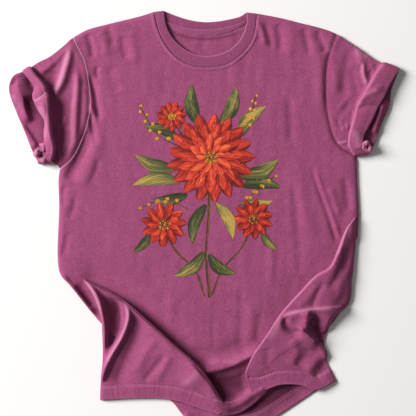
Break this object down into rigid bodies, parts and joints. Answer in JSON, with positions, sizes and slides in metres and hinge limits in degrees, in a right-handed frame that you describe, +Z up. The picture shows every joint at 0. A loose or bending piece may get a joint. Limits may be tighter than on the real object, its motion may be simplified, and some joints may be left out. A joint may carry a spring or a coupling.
{
  "type": "t-shirt",
  "caption": "Short-sleeved crew-neck T-shirt lying flat on its back, with rolled cuffs, a printed chest and the bottom of its front pushed up into two big folds.",
  "frame": {"origin": "centre of the shirt's box in plan, on the surface that the back panel lies on", "axes": "+Y towards the neck, +X towards the wearer's left sleeve as the front is seen from above, +Z up out of the front"},
  "size_m": [0.6992, 0.7572, 0.0278],
  "materials": {
    "jersey": "matt garment-dyed cotton jersey, mottled berry mauve, paler along its folds and seams",
    "rib": "matt garment-dyed cotton rib knit",
    "tape": "matt cotton tape, stitched along both edges",
    "thread": "dyed cotton-wrapped sewing thread",
    "print": "soft matt screen-print ink in reds, golds and olives"
  },
  "bodies": {
    "root": {"front_panel": "jersey", "back_panel": "jersey", "left_sleeve": "jersey", "right_sleeve": "jersey", "neck_rib": "rib", "neck_tape": "tape"}
  },
  "joints": []
}
